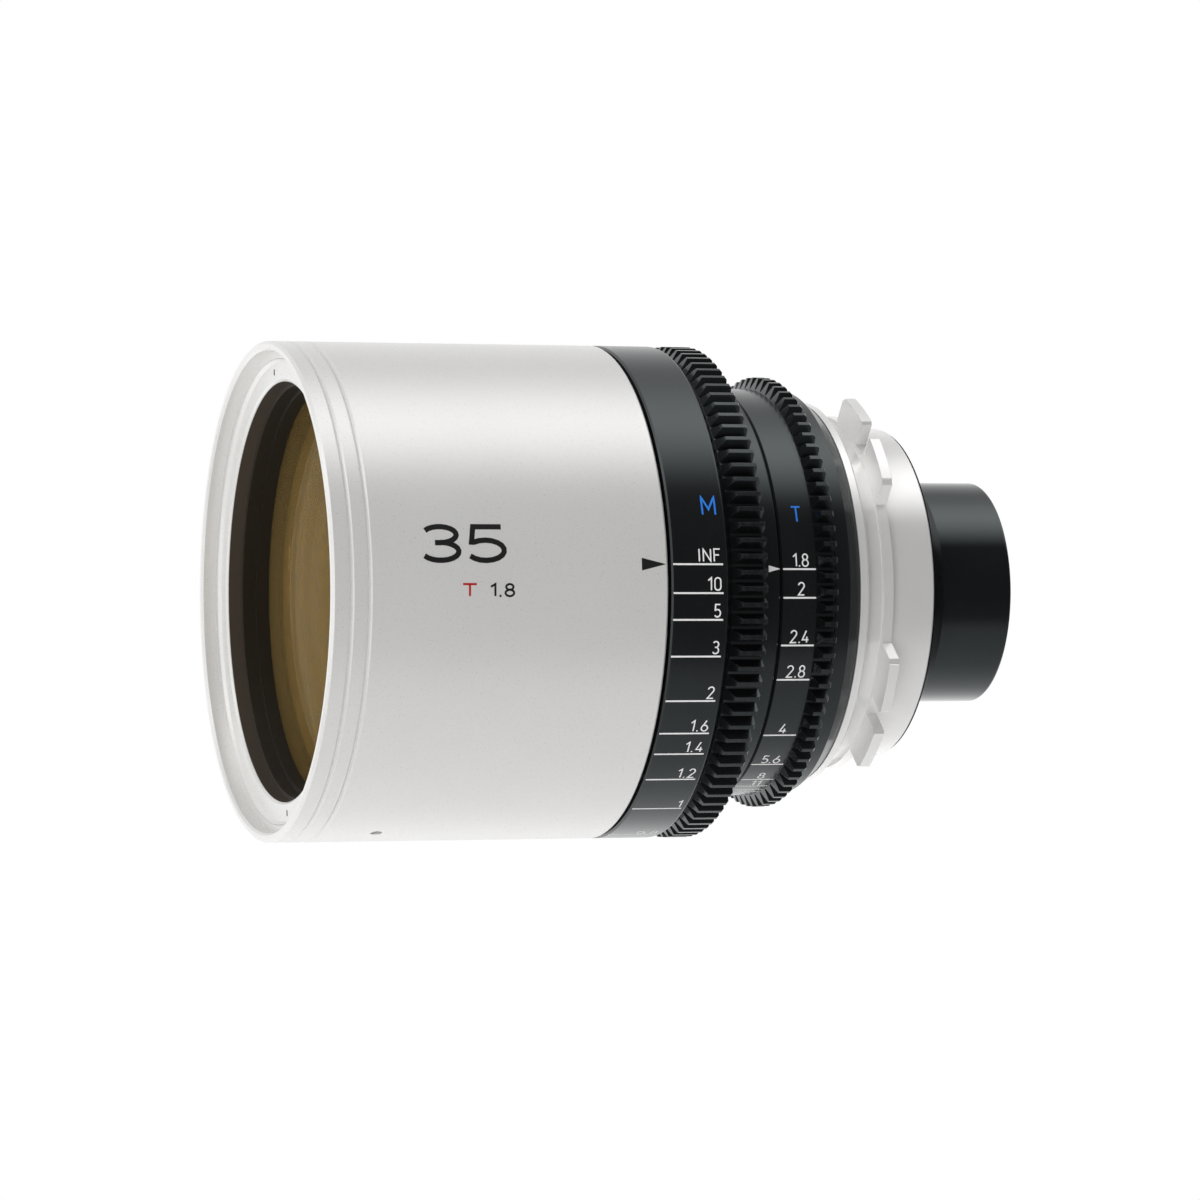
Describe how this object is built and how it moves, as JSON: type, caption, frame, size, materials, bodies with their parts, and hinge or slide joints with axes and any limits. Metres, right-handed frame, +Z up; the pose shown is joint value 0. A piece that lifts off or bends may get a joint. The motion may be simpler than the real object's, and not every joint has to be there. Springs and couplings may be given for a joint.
{
  "type": "cinema prime lens",
  "caption": "Cinema prime lens: bright barrel, geared focus and iris rings that turn, moving focus group and iris blades, and a lugged bayonet mount.",
  "frame": {"origin": "centre of the flange seat, the rear face of the mount lugs, on the optical axis", "axes": "+Y along the optical axis to the rear (the camera side), -Y to the front (the subject), +Z up, +X the side with the scales"},
  "size_m": [0.08, 0.1216, 0.08],
  "materials": {
    "silver_anodised": "satin bead-blasted, anodised",
    "black_anodised": "satin black anodised",
    "matt_black": "matt black anodised",
    "dark_steel": "blackened",
    "brass": "turned",
    "bearing_plastic": "moulded",
    "coated_glass": "amber anti-reflection coating",
    "blade_steel": "blackened"
  },
  "bodies": {
    "barrel": {"filter_ring": "silver_anodised", "name_ring": "silver_anodised", "front_band": "silver_anodised", "front_retainer": "black_anodised", "front_element": "coated_glass", "second_element": "coated_glass", "second_retainer": "matt_black", "front_cell": "matt_black", "barrel_sleeve": "silver_anodised", "sleeve_screws": "dark_steel", "light_baffle": "matt_black", "main_barrel": "matt_black", "focus_washers": "bearing_plastic", "index_ring": "black_anodised", "iris_housing": "matt_black", "iris_retainer": "matt_black", "rear_cone": "black_anodised", "mount_shim": "dark_steel", "bayonet_mount": "silver_anodised", "mount_screws": "dark_steel", "rear_collar": "black_anodised", "collar_screws": "dark_steel", "rear_tube": "black_anodised", "relay_element": "coated_glass", "relay_retainer": "matt_black", "rear_spacer": "matt_black", "rear_element": "coated_glass", "rear_retainer": "matt_black"},
    "focus": {"focus_ring": "black_anodised", "focus_cam_tube": "matt_black", "focus_screws": "dark_steel"},
    "focus_group": {"focus_cell": "matt_black", "focus_front_element": "coated_glass", "focus_front_retainer": "matt_black", "focus_rear_element": "coated_glass", "focus_rear_retainer": "matt_black", "cam_pins": "brass"},
    "iris": {"iris_ring": "black_anodised", "iris_cam_plate": "matt_black", "iris_drive_pin": "brass"},
    "blade_1": {"iris_blade_1": "blade_steel"},
    "blade_2": {"iris_blade_2": "blade_steel"},
    "blade_3": {"iris_blade_3": "blade_steel"},
    "blade_4": {"iris_blade_4": "blade_steel"},
    "blade_5": {"iris_blade_5": "blade_steel"},
    "blade_6": {"iris_blade_6": "blade_steel"},
    "blade_7": {"iris_blade_7": "blade_steel"},
    "blade_8": {"iris_blade_8": "blade_steel"}
  },
  "joints": [
    {"name": "focus_turn", "type": "hinge", "parent": "barrel", "child": "focus", "pos_m": [0, -0.0334, 0], "axis": [0, -1, 0], "range_deg": [0, 98]},
    {"name": "focus_group_slide", "type": "slide", "parent": "barrel", "child": "focus_group", "axis": [0, -1, 0], "range_m": [0, 0.004]},
    {"name": "iris_turn", "type": "hinge", "parent": "barrel", "child": "iris", "pos_m": [0, -0.01625, 0], "axis": [0, -1, 0], "range_deg": [0, 80]},
    {"name": "iris_blade_1_turn", "type": "hinge", "parent": "barrel", "child": "blade_1", "pos_m": [0.01988, -0.0133, 0.00216], "axis": [0, -1, 0], "range_deg": [0, 34.5]},
    {"name": "iris_blade_2_turn", "type": "hinge", "parent": "barrel", "child": "blade_2", "pos_m": [0.01253, -0.0136, 0.01559], "axis": [0, -1, 0], "range_deg": [0, 34.5]},
    {"name": "iris_blade_3_turn", "type": "hinge", "parent": "barrel", "child": "blade_3", "pos_m": [-0.00216, -0.0139, 0.01988], "axis": [0, -1, 0], "range_deg": [0, 34.5]},
    {"name": "iris_blade_4_turn", "type": "hinge", "parent": "barrel", "child": "blade_4", "pos_m": [-0.01559, -0.0142, 0.01253], "axis": [0, -1, 0], "range_deg": [0, 34.5]},
    {"name": "iris_blade_5_turn", "type": "hinge", "parent": "barrel", "child": "blade_5", "pos_m": [-0.01988, -0.0145, -0.00216], "axis": [0, -1, 0], "range_deg": [0, 34.5]},
    {"name": "iris_blade_6_turn", "type": "hinge", "parent": "barrel", "child": "blade_6", "pos_m": [-0.01253, -0.0148, -0.01559], "axis": [0, -1, 0], "range_deg": [0, 34.5]},
    {"name": "iris_blade_7_turn", "type": "hinge", "parent": "barrel", "child": "blade_7", "pos_m": [0.00216, -0.0151, -0.01988], "axis": [0, -1, 0], "range_deg": [0, 34.5]},
    {"name": "iris_blade_8_turn", "type": "hinge", "parent": "barrel", "child": "blade_8", "pos_m": [0.01559, -0.0154, -0.01253], "axis": [0, -1, 0], "range_deg": [0, 34.5]}
  ],
  "couplings": [
    {"joint": "focus_group_slide", "follows": "focus_turn", "m_per_rad": 0.0023385},
    {"joint": "iris_blade_1_turn", "follows": "iris_turn", "ratio": 0.43124},
    {"joint": "iris_blade_2_turn", "follows": "iris_turn", "ratio": 0.43124},
    {"joint": "iris_blade_3_turn", "follows": "iris_turn", "ratio": 0.43124},
    {"joint": "iris_blade_4_turn", "follows": "iris_turn", "ratio": 0.43124},
    {"joint": "iris_blade_5_turn", "follows": "iris_turn", "ratio": 0.43124},
    {"joint": "iris_blade_6_turn", "follows": "iris_turn", "ratio": 0.43124},
    {"joint": "iris_blade_7_turn", "follows": "iris_turn", "ratio": 0.43124},
    {"joint": "iris_blade_8_turn", "follows": "iris_turn", "ratio": 0.43124}
  ]
}
